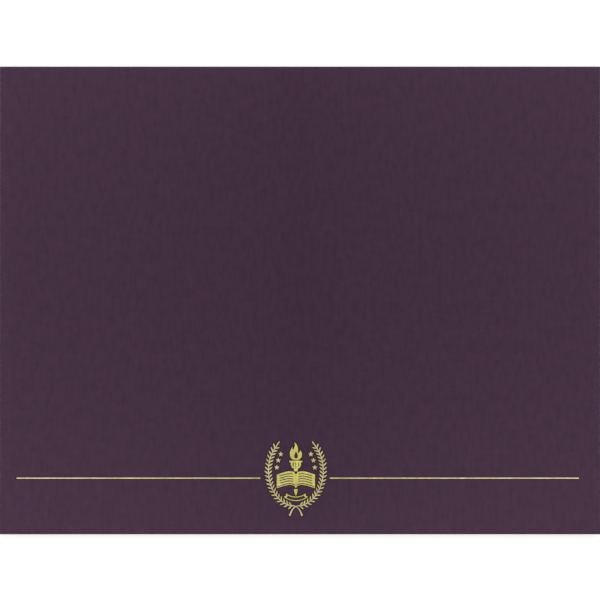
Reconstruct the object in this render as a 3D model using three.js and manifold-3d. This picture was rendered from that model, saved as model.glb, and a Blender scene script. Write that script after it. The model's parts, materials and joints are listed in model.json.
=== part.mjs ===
// Diploma cover: one sheet of linen-finish card, folded once along its top long edge into a
// back leaf and a front leaf, with a foil emblem and two foil rules stamped on the front.
// Millimetres, +Z up. The origin is at the middle of the cover, on the surface it lies on.
// +X runs along the fold, and +Y points from the free edge to the fold.
import * as THREE from "three";
import { mergeVertices } from "three/addons/utils/BufferGeometryUtils.js";
import Module from "manifold-3d";

const wasm = await Module();
wasm.setup();

// The certificate that the cover is made for, and the card left around it on each side
const certificateWidth = 279.4;
const certificateDepth = 215.9;
const sideMargin = 12.7;
const edgeMargin = 10.7;

// The folded sheet
const cardThickness = 0.4;
const leafGap = 0.8; // between the leaves when they lie parallel
const foldSlit = 0.3; // clearance where the two halves of the fold turn on each other
const gapeDegrees = 0.5; // how far the front leaf springs up by itself

// The slits in the back leaf that take the certificate's corners
const cornerHold = 22; // how much of each certificate edge goes behind a slit
const slitOverrun = 2.5; // past the certificate at each end of a slit
const slitWidth = 0.6;

// The foil stamp
const foilThickness = 0.1;
const foilSeat = 0.02; // clearance between the foil and the turned leaf
const emblemShift = -2.1; // from the middle of the leaf
const emblemToFreeEdge = 32.2; // from the widest level of the wreath

// The two rules, level with each other on both sides of the emblem
const ruleWidth = 0.6;
const ruleToFreeEdge = 28.5;
const leftRuleMargin = 8.6; // from the leaf's side edge
const rightRuleMargin = 10.9;
const leftRuleGap = 2.0; // from the wreath
const rightRuleGap = 1.3;

// The wreath: two laurel branches that cross at the bottom
const wreathHalfWidth = 13.9; // from the middle to a stem
const wreathDepth = 18.0; // from the widest level down to the crossing
const wreathRise = 13.2; // from the widest level up to the tips
const stemWidth = 0.5;
const stemFlare = 0.35; // added to the stem's width at its cut end
const tailSpread = 3.2; // where the bare stems end, beside and below the crossing
const tailDrop = 4.8;
const bareStem = 8.2; // from the cut end to the first leaf
const leafPairs = 19;
const leafLength = 2.35;
const leafWidth = 0.72;
const leafDegrees = 48; // between a leaf and its stem

// The torch with its flame, upright in the middle of the wreath
const flameBase = 5.6; // level of the flame's foot above the widest level of the wreath
const flameHeight = 9.0;
const flameWidth = 6.2;
const torchGap = 0.45; // bare line between the flame, the torch, the book and the foot
const rimWidth = 6.6;
const rimHeight = 0.8;
const bowlWidth = 5.3;
const bowlHeight = 3.1;
const fluteWidth = 0.32;
const flutePitch = 1.3;
const shaftWidth = 1.9;

// The open book in front of the torch
const bookTop = -1.9; // level of the gutter
const bookGap = 0.43; // from the wreath's leaves to the lower corners of the pages
const pageHeight = 6.9;
const pageArch = 1.7;
const printLines = 4;
const printLinePitch = 1.23;
const printLineWidth = 0.42;
const pageMargin = 1.35; // left whole at each end of a line
const boardMargin = 0.4; // left whole at each end of the line above the boards
const boardHeight = 0.42;

// The stars beside the flame, three along the inside of each branch
const starsToTip = [3.1, 7.6, 12.1]; // along the branch
const starGap = 0.75; // from the branch's leaves
const starRadius = 1.45;
const starWaist = 0.42; // inner radius as a share of the outer one

// The blank ribbon under the book
const ribbonRadius = 9.0; // of its middle line
const ribbonWidth = 2.2;
const ribbonGap = 0.7; // from the wreath's leaves
const ribbonDegrees = 38; // each side of its middle
const ribbonBorder = 0.42;
const ribbonNotch = 4.2; // degrees that the forked end is cut back

const arcSteps = 8;
const DOWN = -Math.PI / 2;

const coverWidth = certificateWidth + 2 * sideMargin; // along the fold
const leafDepth = certificateDepth + 2 * edgeMargin; // from the free edge to the outside of the fold
const foldRadius = cardThickness + leafGap / 2; // outside of the fold
const foldLevel = foldRadius; // the fold's apex above the surface
const hingeY = leafDepth / 2 + foldSlit / 2;
const freeEdgeY = -leafDepth / 2;
const emblemY = freeEdgeY + emblemToFreeEdge;
const ruleY = freeEdgeY + ruleToFreeEdge;
const leafReach = stemWidth / 2 + leafLength * Math.sin(THREE.MathUtils.degToRad(leafDegrees));
const ribbonLow = leafReach + ribbonGap - wreathDepth;
const pageWidth = stemReach(bookTop - pageHeight) - leafReach - bookGap;

const card = new THREE.MeshStandardMaterial({ color: 0x433040, roughness: 0.8, metalness: 0 });
const foil = new THREE.MeshStandardMaterial({ color: 0xcdb970, roughness: 0.35, metalness: 1 });

// A closed geometry as a solid that can be joined and cut.
function solidOf(geometry) {
  const bare = geometry.clone();
  bare.deleteAttribute("normal");
  bare.deleteAttribute("uv");
  const merged = mergeVertices(bare);
  const vertProperties = new Float32Array(merged.getAttribute("position").array);
  const triVerts = new Uint32Array(merged.index.array);
  return new wasm.Manifold(new wasm.Mesh({ numProp: 3, vertProperties, triVerts }));
}

function geometryOf(solid) {
  const mesh = solid.getMesh();
  const geometry = new THREE.BufferGeometry();
  geometry.setAttribute("position", new THREE.BufferAttribute(mesh.vertProperties, 3));
  geometry.setIndex(new THREE.BufferAttribute(mesh.triVerts, 1));
  return geometry;
}

function extrude(shape, depth) {
  return new THREE.ExtrudeGeometry(shape, { depth, bevelEnabled: false, curveSegments: arcSteps });
}

// A bar with round ends, lying along X with its middle at the origin.
function roundEndedBar(length, width) {
  const half = (length - width) / 2;
  const shape = new THREE.Shape();
  shape.absarc(half, 0, width / 2, DOWN, -DOWN, false);
  shape.absarc(-half, 0, width / 2, -DOWN, -DOWN * 3, false);
  return shape;
}

// One leaf with its half of the fold: a section across the fold, drawn out along it.
function leafWithHalfFold() {
  const innerRadius = foldRadius - cardThickness;
  const bendY = leafDepth / 2 - foldRadius;
  const outerEnd = -Math.asin(foldSlit / 2 / foldRadius);
  const innerEnd = -Math.asin(foldSlit / 2 / innerRadius);
  const section = new THREE.Shape();
  section.moveTo(freeEdgeY, 0);
  section.lineTo(bendY, foldLevel - foldRadius);
  section.absarc(bendY, foldLevel, foldRadius, DOWN, outerEnd, false);
  section.absarc(bendY, foldLevel, innerRadius, innerEnd, DOWN, true);
  section.lineTo(freeEdgeY, cardThickness);
  const across = new THREE.Vector3(0, 1, 0);
  const up = new THREE.Vector3(0, 0, 1);
  const along = new THREE.Vector3(1, 0, 0);
  return extrude(section, coverWidth)
    .translate(0, 0, -coverWidth / 2)
    .applyMatrix4(new THREE.Matrix4().makeBasis(across, up, along));
}

// The back leaf, with a slanting slit across each corner of the certificate.
function backCoverGeometry() {
  const slitLength = cornerHold * Math.SQRT2 + 2 * slitOverrun;
  const reachX = (certificateWidth - cornerHold) / 2;
  const reachY = (certificateDepth - cornerHold) / 2;
  let leaf = solidOf(leafWithHalfFold());
  for (const sideX of [-1, 1]) {
    for (const sideY of [-1, 1]) {
      const slit = extrude(roundEndedBar(slitLength, slitWidth), 3 * cardThickness)
        .rotateZ((-sideX * sideY * Math.PI) / 4)
        .translate(sideX * reachX, sideY * reachY, -cardThickness);
      leaf = leaf.subtract(solidOf(slit));
    }
  }
  return geometryOf(leaf);
}

// The front leaf, the same section turned over so that its fold meets the back leaf's.
function frontCoverGeometry() {
  return leafWithHalfFold()
    .translate(0, 0, -foldLevel)
    .rotateY(Math.PI)
    .translate(0, 0, foldLevel);
}

// How far a stem is from the middle of the wreath, at a level above or below its widest one.
function stemReach(level) {
  return wreathHalfWidth * Math.sqrt(1 - (level / wreathDepth) ** 2);
}

// The middle line of the right-hand branch, from the cut end of its stem to its tip.
function branchCurve() {
  const steps = 10;
  const tipAngle = Math.acos(-wreathRise / wreathDepth);
  const points = [
    new THREE.Vector2(-tailSpread, -wreathDepth - tailDrop),
    new THREE.Vector2(-tailSpread * 0.62, -wreathDepth - tailDrop * 0.42),
  ];
  for (let i = 0; i <= steps; i += 1) {
    const angle = (tipAngle * i) / steps;
    const x = wreathHalfWidth * Math.sin(angle);
    points.push(new THREE.Vector2(x, -wreathDepth * Math.cos(angle)));
  }
  return new THREE.SplineCurve(points);
}

// A point beside the branch: so far along it, and so far to its left (right if negative).
function besideBranch(curve, distance, left) {
  const share = THREE.MathUtils.clamp(distance / curve.getLength(), 0, 1);
  const point = curve.getPointAt(share);
  const tangent = curve.getTangentAt(share);
  return point.add(new THREE.Vector2(-tangent.y, tangent.x).multiplyScalar(left));
}

// The outline of one leaf blade, from its near side round its tip to its far side.
function bladeOutline(root, direction, side) {
  const outward = new THREE.Vector2(-direction.y, direction.x).multiplyScalar(side);
  const stations = [0.22, 0.5, 0.78];
  const edge = (share, way) => {
    const half = (leafWidth / 2) * Math.sin(Math.PI * share ** 0.85) * way;
    return root
      .clone()
      .addScaledVector(direction, leafLength * share)
      .addScaledVector(outward, half);
  };
  const near = stations.map((share) => edge(share, 1));
  const far = stations.map((share) => edge(share, -1)).reverse();
  return [...near, edge(1, 0), ...far];
}

// One side of a branch: the stem's edge with its leaves, from the cut end towards the tip.
function branchSide(curve, side) {
  const length = curve.getLength();
  const pitch = (length - bareStem) / leafPairs;
  const rootHalf = leafWidth / 3;
  const points = [besideBranch(curve, 0, (side * (stemWidth + stemFlare)) / 2)];
  const bareSteps = 5;
  for (let i = 1; i <= bareSteps; i += 1) {
    const distance = ((bareStem - pitch / 2) * i) / bareSteps;
    const flare = stemFlare * Math.max(0, 1 - (2 * distance) / bareStem);
    points.push(besideBranch(curve, distance, (side * (stemWidth + flare)) / 2));
  }
  for (let i = 0; i < leafPairs; i += 1) {
    const distance = bareStem + i * pitch;
    const tangent = curve.getTangentAt(distance / length);
    const direction = tangent
      .clone()
      .rotateAround(new THREE.Vector2(), side * THREE.MathUtils.degToRad(leafDegrees));
    const root = besideBranch(curve, distance, (side * stemWidth) / 2);
    points.push(besideBranch(curve, distance - rootHalf, (side * stemWidth) / 2));
    points.push(...bladeOutline(root, direction, side));
    points.push(besideBranch(curve, distance + rootHalf, (side * stemWidth) / 2));
  }
  return points;
}

// The wreath: the right-hand branch joined with its mirror image where they cross.
function wreathGeometry() {
  const curve = branchCurve();
  const tip = curve.getPointAt(1);
  const outline = [
    ...branchSide(curve, -1),
    ...bladeOutline(tip, curve.getTangentAt(1), -1),
    ...branchSide(curve, 1).reverse(),
  ];
  const mirrored = outline.map((point) => new THREE.Vector2(-point.x, point.y));
  const branches = [outline, mirrored].map((points) =>
    solidOf(extrude(new THREE.Shape(points), foilThickness)),
  );
  return geometryOf(branches[0].add(branches[1]));
}

// The flame: three tongues on one foot, with a bare tongue inside. Outlines with bare places
// inside them run anticlockwise.
function flameGeometry() {
  const at = (x, y) => [x * flameWidth, flameBase + y * flameHeight];
  const flame = new THREE.Shape();
  flame.moveTo(...at(0.24, 0));
  flame.bezierCurveTo(...at(0.58, 0.14), ...at(0.56, 0.4), ...at(0.34, 0.56));
  flame.bezierCurveTo(...at(0.34, 0.44), ...at(0.26, 0.38), ...at(0.16, 0.38));
  flame.bezierCurveTo(...at(0.22, 0.62), ...at(0.14, 0.86), ...at(-0.12, 1));
  flame.bezierCurveTo(...at(-0.02, 0.78), ...at(-0.12, 0.66), ...at(-0.24, 0.54));
  flame.bezierCurveTo(...at(-0.27, 0.6), ...at(-0.28, 0.66), ...at(-0.27, 0.73));
  flame.bezierCurveTo(...at(-0.52, 0.52), ...at(-0.62, 0.16), ...at(-0.24, 0));
  const inner = new THREE.Path();
  inner.moveTo(...at(0.06, 0.08));
  inner.bezierCurveTo(...at(0.24, 0.14), ...at(0.16, 0.3), ...at(0.0, 0.5));
  inner.bezierCurveTo(...at(-0.02, 0.36), ...at(-0.26, 0.2), ...at(-0.06, 0.08));
  flame.holes.push(inner);
  return extrude(flame, foilThickness);
}

// The torch above the book: a rim, a fluted bowl and the top of the shaft.
function torchGeometry() {
  const top = flameBase - torchGap;
  const bottom = pageLevel(shaftWidth / 2, 0) + torchGap;
  const rimBottom = top - rimHeight;
  const bowlBottom = rimBottom - bowlHeight;
  const lip = rimWidth / 2;
  const waist = bowlWidth / 2;
  const half = shaftWidth / 2;
  const torch = new THREE.Shape();
  torch.moveTo(-lip, top);
  torch.lineTo(-lip, rimBottom);
  torch.lineTo(-waist, rimBottom);
  torch.quadraticCurveTo(-waist, bowlBottom, -half, bowlBottom);
  torch.lineTo(-half, bottom);
  torch.lineTo(half, bottom);
  torch.lineTo(half, bowlBottom);
  torch.quadraticCurveTo(waist, bowlBottom, waist, rimBottom);
  torch.lineTo(lip, rimBottom);
  torch.lineTo(lip, top);
  const fluteHalf = fluteWidth / 2;
  for (const place of [-1, 0, 1]) {
    const x = place * flutePitch;
    const fluteBottom = bowlBottom + fluteWidth + Math.abs(x) / 2;
    const flute = new THREE.Path();
    flute.moveTo(x - fluteHalf, rimBottom - fluteHalf);
    flute.lineTo(x + fluteHalf, rimBottom - fluteHalf);
    flute.lineTo(x + fluteHalf, fluteBottom);
    flute.lineTo(x - fluteHalf, fluteBottom);
    torch.holes.push(flute);
  }
  return extrude(torch, foilThickness);
}

// The level of a page's arched edge, so far from the gutter and so far below the top edge.
function pageLevel(distance, drop) {
  const skew = 0.6; // moves the crown of the arch from the middle of the page to the gutter
  return bookTop + pageArch * Math.sin(Math.PI * (distance / pageWidth) ** skew) - drop;
}

// Points along such an edge, between two distances, on the side given by the sign.
function pageLine(sign, from, to, drop) {
  const steps = 12;
  return Array.from({ length: steps + 1 }, (_, i) => {
    const distance = from + ((to - from) * i) / steps;
    return new THREE.Vector2(sign * distance, pageLevel(distance, drop));
  });
}

// A bare line on a page, parallel to its arched edge, with so much left whole at each end.
function pageStripe(sign, margin, drop, width) {
  return new THREE.Path([
    ...pageLine(sign, margin, pageWidth - margin, drop),
    ...pageLine(sign, pageWidth - margin, margin, drop + width),
  ]);
}

// The open book: two arched pages with bare lines for print, and the edge of the boards below.
function bookGeometry() {
  const book = new THREE.Shape([
    ...pageLine(-1, pageWidth, 0, pageHeight),
    ...pageLine(1, 0, pageWidth, pageHeight).slice(1),
    ...pageLine(1, pageWidth, 0, 0),
    ...pageLine(-1, 0, pageWidth, 0).slice(1),
  ]);
  const boardDrop = pageHeight - boardHeight - printLineWidth;
  for (const sign of [-1, 1]) {
    for (let i = 1; i <= printLines; i += 1) {
      const drop = i * printLinePitch - printLineWidth / 2;
      book.holes.push(pageStripe(sign, pageMargin, drop, printLineWidth));
    }
    book.holes.push(pageStripe(sign, boardMargin, boardDrop, printLineWidth));
  }
  return extrude(book, foilThickness);
}

// The pointed end of the torch's shaft, between the book and the ribbon.
function torchFootGeometry() {
  const top = bookTop - pageHeight - torchGap;
  const bottom = ribbonLow + ribbonWidth + torchGap;
  const half = shaftWidth / 2;
  const foot = new THREE.Shape();
  foot.moveTo(-half, top);
  foot.quadraticCurveTo(-half, (top + bottom) / 2, 0, bottom);
  foot.quadraticCurveTo(half, (top + bottom) / 2, half, top);
  return extrude(foot, foilThickness);
}

// A blank ribbon that follows the wreath, with forked ends.
function ribbonGeometry() {
  const middleY = ribbonLow + ribbonWidth / 2 + ribbonRadius;
  const spread = THREE.MathUtils.degToRad(ribbonDegrees);
  const notch = THREE.MathUtils.degToRad(ribbonNotch);
  const outer = ribbonRadius + ribbonWidth / 2;
  const inner = ribbonRadius - ribbonWidth / 2;
  const fork = (angle) => [
    ribbonRadius * Math.cos(DOWN + angle),
    middleY + ribbonRadius * Math.sin(DOWN + angle),
  ];
  const ribbon = new THREE.Shape();
  ribbon.absarc(0, middleY, outer, DOWN - spread, DOWN + spread, false);
  ribbon.lineTo(...fork(spread - notch));
  ribbon.absarc(0, middleY, inner, DOWN + spread, DOWN - spread, true);
  ribbon.lineTo(...fork(notch - spread));
  const blank = new THREE.Path();
  const blankSpread = spread - 2 * notch;
  blank.absarc(0, middleY, outer - ribbonBorder, DOWN - blankSpread, DOWN + blankSpread, false);
  blank.absarc(0, middleY, inner + ribbonBorder, DOWN + blankSpread, DOWN - blankSpread, true);
  ribbon.holes.push(blank);
  return extrude(ribbon, foilThickness);
}

function starGeometry() {
  const points = Array.from({ length: 10 }, (_, i) => {
    const radius = starRadius * (i % 2 === 0 ? 1 : starWaist);
    const angle = -DOWN + (i * Math.PI) / 5;
    return new THREE.Vector2(radius * Math.cos(angle), radius * Math.sin(angle));
  });
  return extrude(new THREE.Shape(points), foilThickness);
}

// A rule between two places along the leaf.
function ruleGeometry(fromX, toX) {
  return extrude(roundEndedBar(toX - fromX, ruleWidth), foilThickness).translate(
    (fromX + toX) / 2,
    0,
    0,
  );
}

function addMesh(parent, name, geometry, material) {
  const mesh = new THREE.Mesh(geometry, material);
  mesh.name = name;
  parent.add(mesh);
  return mesh;
}

// Everything that is stamped on the front leaf, in that leaf's own flat frame.
function foilStamp() {
  const stamp = new THREE.Group();
  stamp.position.z = 2 * foldLevel + foilSeat;

  const wreathReach = wreathHalfWidth + leafReach;
  const rules = new THREE.Group();
  rules.position.y = ruleY;
  const leftEnd = leftRuleMargin - coverWidth / 2;
  const rightEnd = coverWidth / 2 - rightRuleMargin;
  const leftRule = ruleGeometry(leftEnd, emblemShift - wreathReach - leftRuleGap);
  const rightRule = ruleGeometry(emblemShift + wreathReach + rightRuleGap, rightEnd);
  addMesh(rules, "foil_rule_left", leftRule, foil);
  addMesh(rules, "foil_rule_right", rightRule, foil);

  const emblem = new THREE.Group();
  emblem.position.set(emblemShift, emblemY, 0);
  addMesh(emblem, "foil_wreath", wreathGeometry(), foil);
  addMesh(emblem, "foil_flame", flameGeometry(), foil);
  addMesh(emblem, "foil_torch", torchGeometry(), foil);
  addMesh(emblem, "foil_book", bookGeometry(), foil);
  addMesh(emblem, "foil_torch_foot", torchFootGeometry(), foil);
  addMesh(emblem, "foil_ribbon", ribbonGeometry(), foil);
  const branch = branchCurve();
  const inside = leafReach + starGap + starRadius;
  for (const [side, sign] of [["left", -1], ["right", 1]]) {
    starsToTip.forEach((distance, i) => {
      const place = besideBranch(branch, branch.getLength() - distance, inside);
      const star = addMesh(emblem, `foil_star_${side}_${i + 1}`, starGeometry(), foil);
      star.position.set(sign * place.x, place.y, 0);
    });
  }
  stamp.add(rules, emblem);
  return stamp;
}

// The front leaf turns about the fold, and rests a little open.
function frontLeaf() {
  const turned = new THREE.Group();
  turned.position.set(0, hingeY, foldLevel);
  turned.rotation.x = -THREE.MathUtils.degToRad(gapeDegrees);
  const flat = new THREE.Group();
  flat.position.copy(turned.position).negate();
  addMesh(flat, "front_cover", frontCoverGeometry(), card);
  flat.add(foilStamp());
  turned.add(flat);
  return turned;
}

const cover = new THREE.Group();
addMesh(cover, "back_cover", backCoverGeometry(), card);
cover.add(frontLeaf());

export default cover;
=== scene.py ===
import json
import math

import bmesh
import bpy
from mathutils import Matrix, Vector
from mathutils.bvhtree import BVHTree


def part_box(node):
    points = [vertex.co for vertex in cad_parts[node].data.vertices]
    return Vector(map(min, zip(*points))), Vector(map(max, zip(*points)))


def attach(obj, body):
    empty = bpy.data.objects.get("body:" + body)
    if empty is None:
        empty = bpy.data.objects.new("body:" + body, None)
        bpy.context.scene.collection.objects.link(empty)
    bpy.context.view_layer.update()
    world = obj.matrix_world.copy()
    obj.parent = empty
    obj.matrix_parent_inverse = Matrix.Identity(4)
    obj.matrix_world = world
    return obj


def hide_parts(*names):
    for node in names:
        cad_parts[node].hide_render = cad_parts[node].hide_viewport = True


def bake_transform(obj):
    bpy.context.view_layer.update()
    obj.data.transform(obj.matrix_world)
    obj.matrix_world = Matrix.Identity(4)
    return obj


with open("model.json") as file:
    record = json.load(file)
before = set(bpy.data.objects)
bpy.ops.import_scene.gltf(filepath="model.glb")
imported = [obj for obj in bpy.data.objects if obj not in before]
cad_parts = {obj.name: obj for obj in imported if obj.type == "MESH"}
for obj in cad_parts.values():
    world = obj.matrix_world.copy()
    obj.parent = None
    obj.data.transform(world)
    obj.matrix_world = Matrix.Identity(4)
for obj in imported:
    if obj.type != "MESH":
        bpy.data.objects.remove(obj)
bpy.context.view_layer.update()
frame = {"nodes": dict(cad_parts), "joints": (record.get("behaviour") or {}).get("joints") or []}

# The cover is one sheet of heavy plum card, dyed right through, with a linen grain pressed into it.
# It is scored and folded once along its top long edge, so it runs unbroken from the free edge of
# the back leaf, round the fold, to that of the front leaf, which springs up half a degree.
MM = 0.001
SAME_PLACE = MM / 1000
CARD_THICKNESS = 0.4 * MM
FOLD_STEPS = 32
EDGE_SOFTNESS = 0.04 * MM
EDGE_SEGMENTS = 2
EDGE_ANGLE = math.radians(60)
INSIDE_SLOT = 1
CUT_EDGE_SLOT = 2
SHEET_UV = "place_on_sheet"

back_low, back_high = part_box("back_cover")
front_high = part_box("front_cover")[1]
hinge = Vector(frame["joints"][0]["pos_m"])
cover_width = back_high.x - back_low.x
free_edge_y = back_low.y
fold_radius = hinge.z
bend_y = -free_edge_y - fold_radius
leaf_length = bend_y - free_edge_y
gape = math.asin((front_high.z - 2 * fold_radius) / (hinge.y - free_edge_y))
fold_sweep = math.pi - gape
sheet_length = 2 * leaf_length + fold_radius * fold_sweep
front_normal = Vector((0, math.sin(gape), math.cos(gape)))
front_start = Vector((0, bend_y, fold_radius)) + fold_radius * front_normal


def only(piece):
    """Makes a piece the one that the next operators act on."""
    bpy.ops.object.select_all(action="DESELECT")
    piece.select_set(True)
    bpy.context.view_layer.objects.active = piece


def edit(piece):
    """Opens a piece for modelling, with all of it selected."""
    only(piece)
    bpy.ops.object.mode_set(mode="EDIT")
    bpy.ops.mesh.select_mode(type="VERT")
    bpy.ops.mesh.select_all(action="SELECT")


def pick(piece, kind, wanted):
    """Selects the edges or faces that the test finds, and nothing else."""
    bpy.ops.mesh.select_all(action="DESELECT")
    bpy.ops.mesh.select_mode(type={"edges": "EDGE", "faces": "FACE"}[kind])
    shape = bmesh.from_edit_mesh(piece.data)
    for element in getattr(shape, kind):
        if wanted(element):
            element.select_set(True)
    bmesh.update_edit_mesh(piece.data)


def set_down(piece):
    """Leaves edit mode and puts the piece's place into its mesh."""
    bpy.ops.object.mode_set(mode="OBJECT")
    only(piece)
    bpy.ops.object.transform_apply(location=True, rotation=True, scale=True)


def apply_modifiers(piece):
    only(piece)
    for modifier in list(piece.modifiers):
        bpy.ops.object.modifier_apply(modifier=modifier.name)


def length_along(point):
    """How far along the flat sheet a point of its outside lies, from the back leaf's free edge."""
    if point.y > 0:
        turned = math.atan2(point.y - bend_y, fold_radius - point.z)
        return leaf_length + fold_radius * turned
    return 0 if point.z < fold_radius else sheet_length


def make_folded_sheet(materials):
    """The back leaf is drawn flat, spun round the fold, and carried on as the front leaf."""
    bpy.ops.object.select_all(action="DESELECT")
    bpy.ops.mesh.primitive_plane_add(size=1, location=(0, (free_edge_y + bend_y) / 2, 0))
    sheet = bpy.context.active_object
    sheet.name = "folded_card"
    edit(sheet)
    bpy.ops.transform.resize(value=(cover_width, leaf_length, 1))
    set_down(sheet)
    edit(sheet)
    pick(sheet, "edges", lambda edge: min(vert.co.y for vert in edge.verts) > 0)
    bpy.ops.mesh.spin(
        steps=FOLD_STEPS, angle=fold_sweep, center=(0, bend_y, fold_radius), axis=(-1, 0, 0)
    )
    reach = (0, -leaf_length * math.cos(gape), leaf_length * math.sin(gape))
    bpy.ops.mesh.extrude_edges_move(TRANSFORM_OT_translate={"value": reach})
    bpy.ops.mesh.select_all(action="SELECT")
    bpy.ops.mesh.remove_doubles(threshold=SAME_PLACE)
    bpy.ops.mesh.normals_make_consistent(inside=False)
    set_down(sheet)
    places = sheet.data.uv_layers.new(name=SHEET_UV)
    for loop in sheet.data.loops:
        point = sheet.data.vertices[loop.vertex_index].co
        places.data[loop.index].uv = (point.x, length_along(point))
    for material in materials:
        sheet.data.materials.append(material)
    wall = sheet.modifiers.new("card thickness", "SOLIDIFY")
    wall.thickness = CARD_THICKNESS
    wall.offset = -1
    wall.material_offset = INSIDE_SLOT
    wall.material_offset_rim = CUT_EDGE_SLOT
    soften = sheet.modifiers.new("softened edges", "BEVEL")
    soften.width = EDGE_SOFTNESS
    soften.segments = EDGE_SEGMENTS
    soften.angle_limit = EDGE_ANGLE
    apply_modifiers(sheet)
    return sheet


# The card's finish: crossed threads of the linen grain as relief, with painted highlight on the
# thread tops and painted shade between them, faint streaks in the dye, painted light that makes
# the dye paler towards the edges, and dye palest along the fold, where the fibres are stretched.
# Beside the foil the card is darker, partly burnished and partly painted shade. The inside is
# pressed less deeply, and the cut edges show the bare fibres.
DYE = (0.0414, 0.0166, 0.0382)
# Painted light: the paler dye that the sheet is painted towards at its edges.
EDGE_LIGHT_DYE = (0.0620, 0.0290, 0.0580)
FOLD_DYE = (0.0850, 0.0480, 0.0800)
# Painted shade: the darker card beside the foil, partly burnished and partly the groove's shade.
BURNISHED_AND_SHADED_DYE = (0.0225, 0.0100, 0.0070)
BURNISHED_AND_SHADED_SHARE = 0.5
CARD_SPECULAR = 0.2
CARD_ROUGHNESS = 0.68
THREAD_ROUGHNESS = 0.2
THREAD_PITCH = 0.5 * MM
THREAD_LENGTH = 5 * MM
# Painted highlight and shade: the thread tops are painted lighter and the hollows darker.
THREAD_PAINTED_SHADE = 0.35
MEAN_RELIEF = 0.56
MEAN_NOISE = 0.5
GRAIN_DEPTH = 0.25 * MM
OUTSIDE_GRAIN = 0.7
INSIDE_GRAIN = 0.35
STREAK_WIDTH = 2.4 * MM
STREAK_LENGTH = 6.5 * MM
STREAK_TONE = 0.6
DOWNWARD_SHARE = 0.7


class Wiring:
    """A node tree, and the few ways in which the finishes here are wired up."""

    def __init__(self, tree):
        self.tree = tree

    def feed(self, socket, value):
        if isinstance(value, bpy.types.NodeSocket):
            self.tree.links.new(value, socket)
        else:
            socket.default_value = value

    def node(self, kind, *values, **settings):
        """Adds a node with its properties set, and feeds its sockets in order."""
        node = self.tree.nodes.new(kind)
        for name, setting in settings.items():
            setattr(node, name, setting)
        for place, value in enumerate(values):
            self.feed(node.inputs[place], value)
        return node

    def math(self, operation, *values):
        return self.node("ShaderNodeMath", *values, operation=operation).outputs[0]

    def fade(self, value, start, end):
        """Runs smoothly from 0 at start to 1 at end."""
        node = self.node("ShaderNodeMapRange", value, start, end, interpolation_type="SMOOTHSTEP")
        return node.outputs["Result"]

    def noise(self, place, size, seed=0):
        """Noise from 0 to 1, with blotches of about the given width and length."""
        scale = (1 / size[0], 1 / size[1], 1)
        node = self.node("ShaderNodeMapping", place, (seed, seed, 0), (0, 0, 0), scale)
        blotches = self.node("ShaderNodeTexNoise", node.outputs[0], noise_dimensions="2D")
        blotches.inputs["Scale"].default_value = 1
        return blotches.outputs["Fac"]

    def mix(self, share, first, second):
        """Mixes two colours: sockets 6 and 7 of the node take them, and output 2 gives the mix."""
        node = self.node("ShaderNodeMix", share, data_type="RGBA")
        for place, color in ((6, first), (7, second)):
            linked = isinstance(color, bpy.types.NodeSocket)
            self.feed(node.inputs[place], color if linked else (*color, 1))
        return node.outputs[2]

    def tint(self, color, brightness):
        """A colour made darker or lighter by a value near 1."""
        node = self.node("ShaderNodeVectorMath", color, operation="SCALE")
        self.feed(node.inputs["Scale"], brightness)
        return node.outputs[0]

    def group(self, tree, *values):
        node = self.node("ShaderNodeGroup", node_tree=tree)
        for place, value in enumerate(values):
            self.feed(node.inputs[place], value)
        return node.outputs

    def grain_tone_and_painted_light(self, linen, streak_tone, thread_tone):
        """Brightness near 1 from the grain's streaks, with painted light and shade on its threads.
        """
        threads = self.math("SUBTRACT", linen["Relief"], MEAN_RELIEF)
        shade = self.math("MULTIPLY_ADD", linen["Streak"], streak_tone, 1.0)
        return self.math("MULTIPLY_ADD", threads, thread_tone, shade)

    def emboss(self, shader, linen, strength):
        """Lets the linen grain stand out as relief on a surface."""
        bump = self.node("ShaderNodeBump")
        bump.inputs["Strength"].default_value = strength
        bump.inputs["Distance"].default_value = GRAIN_DEPTH
        self.feed(bump.inputs["Height"], linen["Relief"])
        self.feed(shader["Normal"], bump.outputs[0])


def new_group(name, inputs, outputs):
    """An empty node group; its sockets are given as names with their kinds."""
    tree = bpy.data.node_groups.new(name, "ShaderNodeTree")
    for sockets, way in ((inputs, "INPUT"), (outputs, "OUTPUT")):
        for word, kind in sockets.items():
            tree.interface.new_socket(word, in_out=way, socket_type=kind)
    wiring = Wiring(tree)
    return wiring, wiring.node("NodeGroupInput").outputs, wiring.node("NodeGroupOutput").inputs


def make_linen_group():
    """The linen grain: relief of crossed threads, and streaks that run mostly down the sheet."""
    wiring, given, found = new_group(
        "pressed_linen",
        {"Place": "NodeSocketVector"},
        {"Relief": "NodeSocketFloat", "Streak": "NodeSocketFloat"},
    )
    warp = wiring.noise(given["Place"], (THREAD_PITCH, THREAD_LENGTH))
    weft = wiring.noise(given["Place"], (THREAD_LENGTH, THREAD_PITCH), seed=7)
    wiring.feed(found["Relief"], wiring.math("MAXIMUM", warp, weft))
    down = wiring.noise(given["Place"], (STREAK_WIDTH, STREAK_LENGTH), seed=13)
    across = wiring.noise(given["Place"], (STREAK_LENGTH, STREAK_WIDTH), seed=29)
    both = wiring.math("MULTIPLY", down, DOWNWARD_SHARE)
    both = wiring.math("MULTIPLY_ADD", across, 1 - DOWNWARD_SHARE, both)
    wiring.feed(found["Streak"], wiring.math("SUBTRACT", both, MEAN_NOISE))
    return wiring.tree


# Painted light: the dye is painted paler towards the sides, the ends, the free edge and the rim.
SIDE_PAINTED_LIGHT, SIDE_POWER = 0.5, 0.75
END_PAINTED_LIGHT, END_POWER = 0.35, 2.5
RIM_PAINTED_LIGHT, RIM_POWER = 0.25, 40
FREE_EDGE_PAINTED_LIGHT = 0.22
FOLD_BAND = 1.4 * MM
FOLD_BREAK_SIZE = (1.2 * MM, 0.3 * MM)


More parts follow.
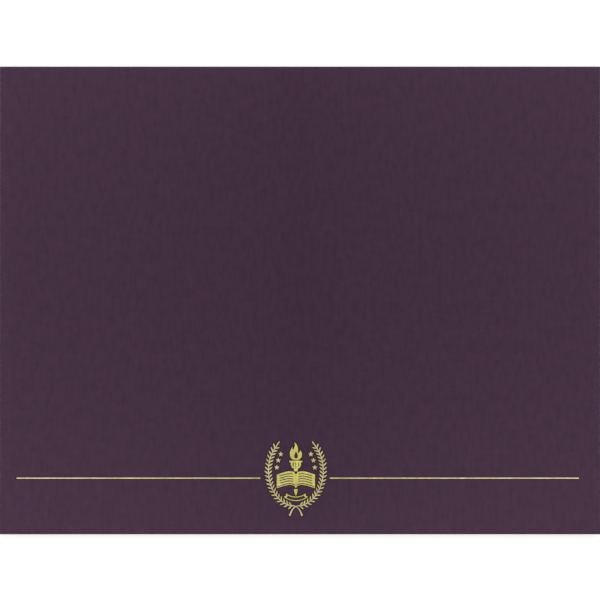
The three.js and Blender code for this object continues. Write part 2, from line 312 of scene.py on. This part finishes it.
def make_edge_light_and_fold_group():
    """Painted light towards the sheet's edges, and a narrow band along its fold of stretched
    fibres.
    """
    wiring, given, found = new_group(
        "painted_edge_light_and_fold",
        {"Place": "NodeSocketVector"},
        {"Edges": "NodeSocketFloat", "Fold": "NodeSocketFloat"},
    )
    place = wiring.node("ShaderNodeSeparateXYZ", given["Place"]).outputs
    across = wiring.math("ABSOLUTE", wiring.math("DIVIDE", place["X"], cover_width / 2))
    from_fold = wiring.math("ABSOLUTE", wiring.math("SUBTRACT", place["Y"], sheet_length / 2))
    from_middle = wiring.math("SUBTRACT", from_fold, sheet_length / 4)
    outwards = wiring.math("DIVIDE", from_middle, sheet_length / 4)
    along = wiring.math("ABSOLUTE", outwards)
    free_half = wiring.math("MAXIMUM", outwards, 0)
    rim = wiring.math("POWER", wiring.math("MAXIMUM", across, along), RIM_POWER)
    # Painted light, strongest at the edges of the sheet.
    painted_paleness = wiring.math("MULTIPLY", wiring.math("POWER", across, SIDE_POWER), SIDE_PAINTED_LIGHT)
    painted_paleness = wiring.math("MULTIPLY_ADD", wiring.math("POWER", along, END_POWER), END_PAINTED_LIGHT, painted_paleness)
    painted_paleness = wiring.math("MULTIPLY_ADD", free_half, FREE_EDGE_PAINTED_LIGHT, painted_paleness)
    wiring.feed(found["Edges"], wiring.math("MULTIPLY_ADD", rim, RIM_PAINTED_LIGHT, painted_paleness))
    band = wiring.fade(from_fold, FOLD_BAND, 0.0)
    breaks = wiring.noise(given["Place"], FOLD_BREAK_SIZE, seed=41)
    wiring.feed(found["Fold"], wiring.math("MULTIPLY", band, breaks))
    return wiring.tree


linen_group = make_linen_group()
edge_light_and_fold_group = make_edge_light_and_fold_group()


def new_material(name, roughness=0.5, metallic=0.0, specular=0.5):
    """A material with the finish that is the same all over it, ready for what varies."""
    material = bpy.data.materials.new(name)
    material.use_nodes = True
    wiring = Wiring(material.node_tree)
    shader = material.node_tree.nodes["Principled BSDF"].inputs
    shader["Roughness"].default_value = roughness
    shader["Metallic"].default_value = metallic
    shader["Specular IOR Level"].default_value = specular
    return material, wiring, shader


def make_card_material(name, grain):
    material, wiring, shader = new_material(name, specular=CARD_SPECULAR)
    place = wiring.node("ShaderNodeUVMap", uv_map=SHEET_UV).outputs[0]
    linen = wiring.group(linen_group, place)
    lit_edges_and_fold = wiring.group(edge_light_and_fold_group, place)
    pressed = wiring.node("ShaderNodeAttribute", attribute_name="pressed").outputs["Fac"]
    # Painted light makes the dye paler towards the edges; the fold band is the stretched fibres.
    dye = wiring.mix(lit_edges_and_fold["Edges"], DYE, EDGE_LIGHT_DYE)
    dye = wiring.mix(lit_edges_and_fold["Fold"], dye, FOLD_DYE)
    # Beside the foil the card is painted darker: partly burnished, partly painted shade of the
    # groove.
    dye = wiring.mix(wiring.fade(pressed, 0.0, BURNISHED_AND_SHADED_SHARE), dye, BURNISHED_AND_SHADED_DYE)
    # The grain's streaks vary the dye; its threads add painted highlight and painted shade.
    shade = wiring.grain_tone_and_painted_light(linen, STREAK_TONE, THREAD_PAINTED_SHADE)
    wiring.feed(shader["Base Color"], wiring.tint(dye, shade))
    rough = wiring.math("MULTIPLY_ADD", linen["Relief"], THREAD_ROUGHNESS, CARD_ROUGHNESS)
    wiring.feed(shader["Roughness"], rough)
    wiring.emboss(shader, linen, grain)
    return material


FIBRE_DYE = (0.0720, 0.0370, 0.0660)
FIBRE_SIZE = (0.25 * MM, 0.25 * MM)
FIBRE_TONE = 0.5
FIBRE_ROUGHNESS = 0.9


def make_cut_edge_material():
    material, wiring, shader = new_material(
        "cut_card_fibres", FIBRE_ROUGHNESS, specular=CARD_SPECULAR
    )
    place = wiring.node("ShaderNodeUVMap", uv_map=SHEET_UV).outputs[0]
    fibres = wiring.noise(place, FIBRE_SIZE, seed=3)
    shade = wiring.math("MULTIPLY_ADD", fibres, FIBRE_TONE, 1 - FIBRE_TONE * MEAN_NOISE)
    wiring.feed(shader["Base Color"], wiring.tint(FIBRE_DYE, shade))
    return material


folded_card = make_folded_sheet(
    [
        make_card_material("linen_card_outside", OUTSIDE_GRAIN),
        make_card_material("linen_card_inside", INSIDE_GRAIN),
        make_cut_edge_material(),
    ]
)

# Four slits are die-cut through the back leaf, slanting across the corners of the certificate that
# the cover is made for. Each corner of the certificate slips through its slit and is held there.
# They are open cuts with round ends, through the full thickness of the card.
SIDE_MARGIN = 12.7 * MM
EDGE_MARGIN = 10.7 * MM
CORNER_HOLD = 22 * MM
SLIT_OVERRUN = 2.5 * MM
SLIT_WIDTH = 0.6 * MM
SLIT_END_STEPS = 8
CUTTER_HEIGHT = 3 * CARD_THICKNESS

slit_length = CORNER_HOLD * math.sqrt(2) + 2 * SLIT_OVERRUN
slit_x = cover_width / 2 - SIDE_MARGIN - CORNER_HOLD / 2
slit_y = -free_edge_y - EDGE_MARGIN - CORNER_HOLD / 2


def make_slit_cutter(side_x, side_y):
    """A round-ended blade across one corner, its walls in the finish of the cut edges."""
    bpy.ops.object.select_all(action="DESELECT")
    bpy.ops.mesh.primitive_cube_add(size=1)
    cutter = bpy.context.active_object
    edit(cutter)
    bpy.ops.transform.resize(value=(slit_length, SLIT_WIDTH, CUTTER_HEIGHT))
    pick(cutter, "edges", lambda edge: edge.verts[0].co.z * edge.verts[1].co.z < 0)
    bpy.ops.mesh.bevel(offset=SLIT_WIDTH / 2, segments=SLIT_END_STEPS, affect="EDGES")
    bpy.ops.mesh.select_all(action="SELECT")
    bpy.ops.mesh.remove_doubles(threshold=SAME_PLACE)
    set_down(cutter)
    cutter.rotation_euler.z = -side_x * side_y * math.pi / 4
    cutter.location = (side_x * slit_x, side_y * slit_y, 0)
    set_down(cutter)
    for material in folded_card.data.materials:
        cutter.data.materials.append(material)
    for face in cutter.data.polygons:
        face.material_index = CUT_EDGE_SLOT
    return cutter


for side_x in (-1, 1):
    for side_y in (-1, 1):
        cutter = make_slit_cutter(side_x, side_y)
        cut = folded_card.modifiers.new("slit", "BOOLEAN")
        cut.operation = "DIFFERENCE"
        cut.solver = "MANIFOLD"
        cut.object = cutter
        apply_modifiers(folded_card)
        bpy.data.objects.remove(cutter)

# The hot die presses the foil a little way into the front leaf, and with it a narrow rim of card,
# which is burnished darker and is also painted with the shade of the groove. So each line of foil
# lies in a shallow groove with soft shoulders.
PRESS_DEPTH = 0.06 * MM
PRESS_RIM = 0.1 * MM
PRESS_SHOULDER = 0.5 * MM
SHOULDER_STEPS = (0, 0.3, 0.65, 1)
EMBLEM_CUTS = (4, 33)
PLAIN_BORDER = 0.3 * MM
FACING_FRONT = 0.99

press_reach = PRESS_RIM + PRESS_SHOULDER
emblem_low, emblem_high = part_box("foil_wreath")
emblem_left, emblem_right = emblem_low.x - press_reach, emblem_high.x + press_reach
emblem_near, emblem_far = emblem_low.y - press_reach, emblem_high.y + press_reach


def front_height(point):
    """How far a point lies outside the front leaf's surface."""
    return (point - front_start).dot(front_normal)


def on_front(face):
    """True for a flat face of the front leaf's outside."""
    level = abs(front_height(face.calc_center_median())) < SAME_PLACE
    return level and face.normal.dot(front_normal) > FACING_FRONT


def cut_front(axis, place, low, high):
    """Cuts the front leaf at a place in x (axis 0) or y (axis 1), from low to high in the other."""

    def wanted(face):
        return on_front(face) and low < face.calc_center_median()[1 - axis] < high

    pick(folded_card, "faces", wanted)
    across = Vector((1 - axis, axis, 0))
    bpy.ops.mesh.bisect(plane_co=across * place, plane_no=across, threshold=SAME_PLACE)


def inside_emblem(face):
    middle = face.calc_center_median()
    in_width = emblem_left < middle.x < emblem_right
    return on_front(face) and in_width and emblem_near < middle.y < emblem_far


def foil_outlines():
    """The foil's outlines from the CAD model, laid on the leaf, to find how near the foil is."""
    points = []
    faces = []
    for name, node in frame["nodes"].items():
        if not name.startswith("foil_"):
            continue
        for face in node.data.polygons:
            if face.normal.dot(front_normal) > FACING_FRONT:
                faces.append([len(points) + place for place in range(len(face.vertices))])
                for index in face.vertices:
                    corner = node.data.vertices[index].co
                    points.append(corner - front_height(corner) * front_normal)
    return BVHTree.FromPolygons(points, faces)


def cut_press_lines():
    """Gives the front leaf the edges that the grooves need.

    The emblem gets a fine net inside a plain border, and each rule gets rows and columns along the
    shoulders of its groove. The first cuts run right through the leaf and keep these apart.
    """
    edge_left, edge_right = emblem_left - PLAIN_BORDER, emblem_right + PLAIN_BORDER
    left_rule, right_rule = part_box("foil_rule_left"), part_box("foil_rule_right")
    outer_left, outer_right = left_rule[0].x - press_reach, right_rule[1].x + press_reach
    for place in (outer_left, edge_left, emblem_left, emblem_right, edge_right, outer_right):
        cut_front(0, place, free_edge_y, bend_y)
    for place in (emblem_near - PLAIN_BORDER, emblem_near, emblem_far, emblem_far + PLAIN_BORDER):
        cut_front(1, place, edge_left, edge_right)
    pick(folded_card, "faces", inside_emblem)
    for cuts in EMBLEM_CUTS:
        bpy.ops.mesh.subdivide(number_cuts=cuts)
    offsets = [PRESS_RIM + PRESS_SHOULDER * step for step in SHOULDER_STEPS]
    strips = ((left_rule, outer_left, edge_left), (right_rule, edge_right, outer_right))
    for (rule_low, rule_high), low, high in strips:
        for offset in offsets:
            cut_front(1, rule_low.y - offset, low, high)
            cut_front(1, rule_high.y + offset, low, high)
        for offset in offsets:
            for place in (rule_low.x - offset, rule_high.x + offset):
                cut_front(0, place, rule_low.y - press_reach, rule_high.y + press_reach)


def soft_step(share):
    """Rises from 0 to 1, level at both ends."""
    return share * share * (3 - 2 * share)


edit(folded_card)
cut_press_lines()
# Faces that the cuts left with more than four corners are split into well-shaped triangles.
pick(folded_card, "faces", lambda face: len(face.verts) > 4)
bpy.ops.mesh.quads_convert_to_tris(quad_method="BEAUTY", ngon_method="BEAUTY")
bpy.ops.object.mode_set(mode="OBJECT")
outlines = foil_outlines()
pressed = folded_card.data.attributes.new("pressed", "FLOAT", "POINT")
for vertex, mark in zip(folded_card.data.vertices, pressed.data):
    gap = outlines.find_nearest(vertex.co, press_reach)[3]
    if gap is not None and abs(front_height(vertex.co)) < SAME_PLACE:
        near = 1 - max(gap - PRESS_RIM, 0) / PRESS_SHOULDER
        mark.value = near
        vertex.co -= soft_step(near) * PRESS_DEPTH * front_normal

# With its slits cut and its grooves pressed the sheet is finished. It stands in for both leaves of
# the CAD model, which are hidden.
SMOOTH_ANGLE = math.radians(30)

only(folded_card)
bpy.ops.object.shade_smooth_by_angle(angle=SMOOTH_ANGLE)
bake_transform(folded_card)
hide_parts("back_cover", "front_cover")

# The two rules are thin lines of pale gold foil, hot-stamped on the front leaf on both sides of the
# emblem. The foil takes on the linen grain of the card, so it glints a little unevenly, partly
# with painted glints in its colour, and it is painted brighter towards the sides of the cover.
# Its top lies just above the floor of its groove, and below the card around it.
PALE_GOLD = (0.45, 0.38, 0.20)
BRIGHT_GOLD = (0.66, 0.56, 0.36)
PALE_CLOUDS = (9 * MM, 6 * MM)
CLOUD_RANGE = (0.35, 0.65)
CLOUD_SHARE = 0.4
# Painted light towards the sides of the cover; the clouds are the foil's own tone.
OUTWARD_PAINTED_LIGHT = 0.8
# Painted glints: the foil's colour is painted lighter and darker along the streaks and threads.
STREAK_PAINTED_GLINT = 0.8
THREAD_PAINTED_GLINT = 0.5
FOIL_ROUGHNESS = 0.2
FOIL_THREAD_ROUGHNESS = 0.3
FOIL_GRAIN = 0.15
FOIL_TOP = -0.03 * MM
FOIL_UNDERSIDE = -0.07 * MM
FLAT_WITHIN = math.radians(0.5)


def make_foil_material(name, main_color, other_color, cloud_size):
    """Two tones in clouds; painted light lets the second tone gain towards the sides of the cover.
    """
    material, wiring, shader = new_material(name, metallic=1.0)
    place = wiring.node("ShaderNodeTexCoord").outputs["Object"]
    linen = wiring.group(linen_group, place)
    clouds = wiring.fade(wiring.noise(place, cloud_size, seed=5), *CLOUD_RANGE)
    # Painted light: the foil is painted brighter towards the sides of the cover.
    across = wiring.math("ABSOLUTE", wiring.node("ShaderNodeSeparateXYZ", place).outputs["X"])
    outwards = wiring.math("DIVIDE", across, cover_width / 2)
    share = wiring.math("MULTIPLY", outwards, OUTWARD_PAINTED_LIGHT)
    share = wiring.math("MULTIPLY_ADD", clouds, CLOUD_SHARE, share)
    color = wiring.mix(share, main_color, other_color)
    # Painted glints in the foil's colour, following the streaks and threads of the grain.
    painted_glint = wiring.grain_tone_and_painted_light(linen, STREAK_PAINTED_GLINT, THREAD_PAINTED_GLINT)
    wiring.feed(shader["Base Color"], wiring.tint(color, painted_glint))
    rough = wiring.math("MULTIPLY_ADD", linen["Relief"], FOIL_THREAD_ROUGHNESS, FOIL_ROUGHNESS)
    wiring.feed(shader["Roughness"], rough)
    wiring.emboss(shader, linen, FOIL_GRAIN)
    return material


def stamp(node_name, piece_name, material):
    """A foil island: the CAD outline, merged to whole faces and pressed into its groove."""
    bpy.ops.object.select_all(action="DESELECT")
    island = bpy.data.objects.new(piece_name, frame["nodes"][node_name].data.copy())
    bpy.context.scene.collection.objects.link(island)
    edit(island)
    bpy.ops.mesh.remove_doubles(threshold=SAME_PLACE)
    bpy.ops.mesh.dissolve_limited(angle_limit=FLAT_WITHIN)
    set_down(island)
    heights = [front_height(vertex.co) for vertex in island.data.vertices]
    middle = (min(heights) + max(heights)) / 2
    for vertex, height in zip(island.data.vertices, heights):
        sunk = FOIL_TOP if height > middle else FOIL_UNDERSIDE
        vertex.co += (sunk - height) * front_normal
    island.data.materials.clear()
    island.data.materials.append(material)
    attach(island, "front")
    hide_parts(node_name)


pale_foil = make_foil_material("pale_gold_foil", PALE_GOLD, BRIGHT_GOLD, PALE_CLOUDS)
stamp("foil_rule_left", "gold_rule_left", pale_foil)
stamp("foil_rule_right", "gold_rule_right", pale_foil)

# The laurel wreath frames the emblem, with three stars inside each branch. Its stems and blades are
# so thin that the die pressed them hard, and they shine paler than the broad shapes.
stamp("foil_wreath", "gold_laurel_wreath", pale_foil)
for side in ("left", "right"):
    for number in (1, 2, 3):
        stamp(f"foil_star_{side}_{number}", f"gold_star_{side}_{number}", pale_foil)

# In the wreath stand a torch with its flame, an open book in front of it, and a blank ribbon. They
# are broad shapes of the same foil, where its deeper olive gold shows.
DEEP_GOLD = (0.48, 0.43, 0.07)
LIGHT_GOLD = (0.64, 0.57, 0.44)
DEEP_CLOUDS = (1.3 * MM, 1.0 * MM)

deep_foil = make_foil_material("deep_gold_foil", DEEP_GOLD, LIGHT_GOLD, DEEP_CLOUDS)
for shape in ("flame", "torch", "torch_foot", "book", "ribbon"):
    stamp(f"foil_{shape}", f"gold_{shape}", deep_foil)

# The cover lies on a plain pale floor that fills the view, and keeps its soft shadow. The floor
# glows only where it is seen, itself or mirrored, so that it is white with no more light on the
# cover.
FLOOR_SIZE = 12
FLOOR_COLOR = (0.6, 0.6, 0.6, 1)
FLOOR_ROUGHNESS = 0.9
FLOOR_GLOW = 0.57
WHITE = (1, 1, 1, 1)

bpy.ops.object.select_all(action="DESELECT")
bpy.ops.mesh.primitive_plane_add(size=FLOOR_SIZE, location=(0, 0, 0))
floor = bpy.context.active_object
floor.name = "floor"


def seen_directly(wiring):
    """1 for rays from the camera, mirrored rays and rays through glass, otherwise 0."""
    rays = wiring.node("ShaderNodeLightPath").outputs
    either = wiring.math("MAXIMUM", rays["Is Camera Ray"], rays["Is Glossy Ray"])
    return wiring.math("MAXIMUM", either, rays["Is Transmission Ray"])


pale_floor, floor_wiring, floor_shader = new_material(
    "pale_floor", FLOOR_ROUGHNESS, specular=0.0
)
floor_shader["Base Color"].default_value = FLOOR_COLOR
floor_shader["Emission Color"].default_value = WHITE
glow = floor_wiring.math("MULTIPLY", seen_directly(floor_wiring), FLOOR_GLOW)
floor_wiring.feed(floor_shader["Emission Strength"], glow)
floor.data.materials.append(pale_floor)

# The light is plain and soft: a white surround, and a large soft panel on each of four sides. The
# left panel is the strongest, as the card is a little paler towards its left side.
AMBIENT = 0.5
PANEL_SIZE = 1.2
PANEL_DISTANCE = 1.3
PANEL_ELEVATION = math.radians(40)
PANEL_WATTS = {"left": 4.3, "right": 3.0, "far": 3.0, "near": 3.0}
PANEL_BEARING = {"left": math.pi, "right": 0, "far": math.pi / 2, "near": -math.pi / 2}

world = bpy.data.worlds.new("studio")
bpy.context.scene.world = world
world.use_nodes = True
world_wiring = Wiring(world.node_tree)
surround = world.node_tree.nodes["Background"].inputs
surround["Color"].default_value = WHITE
direct = seen_directly(world_wiring)
world_wiring.feed(
    surround["Strength"], world_wiring.math("MULTIPLY_ADD", direct, 1 - AMBIENT, AMBIENT)
)
for name, watts in PANEL_WATTS.items():
    panel = bpy.data.lights.new(name + "_panel", "AREA")
    panel.energy = watts
    panel.size = PANEL_SIZE
    lamp = bpy.data.objects.new(name + "_panel", panel)
    bearing = PANEL_BEARING[name]
    flat = Vector((math.cos(bearing), math.sin(bearing), 0)) * math.cos(PANEL_ELEVATION)
    lamp.location = (flat + Vector((0, 0, math.sin(PANEL_ELEVATION)))) * PANEL_DISTANCE
    lamp.rotation_euler = lamp.location.to_track_quat("Z", "Y").to_euler()
    lamp.visible_camera = False
    bpy.context.scene.collection.objects.link(lamp)

# The camera looks straight down through a long lens, so that the cover just overfills the width of
# the picture. The photograph's middle lies a little above the middle of the cover.
LENS = 400
SENSOR = 36
PIXELS_ACROSS = 600
PIXELS_OVERFILLED = 0.7
PIXELS_RAISED = 0.4
FARTHEST_SEEN = 20

camera = bpy.data.objects.new("camera", bpy.data.cameras.new("camera"))
bpy.context.scene.collection.objects.link(camera)
camera.data.lens = LENS
camera.data.sensor_width = SENSOR
camera.data.clip_end = FARTHEST_SEEN
pixel = cover_width / (PIXELS_ACROSS + PIXELS_OVERFILLED)
distance = pixel * PIXELS_ACROSS * LENS / SENSOR
cover_top = 2 * fold_radius
camera.location = (0, PIXELS_RAISED * pixel, distance + cover_top)
bpy.context.scene.camera = camera
bpy.context.scene.view_settings.view_transform = "Standard"

bpy.context.view_layer.update()
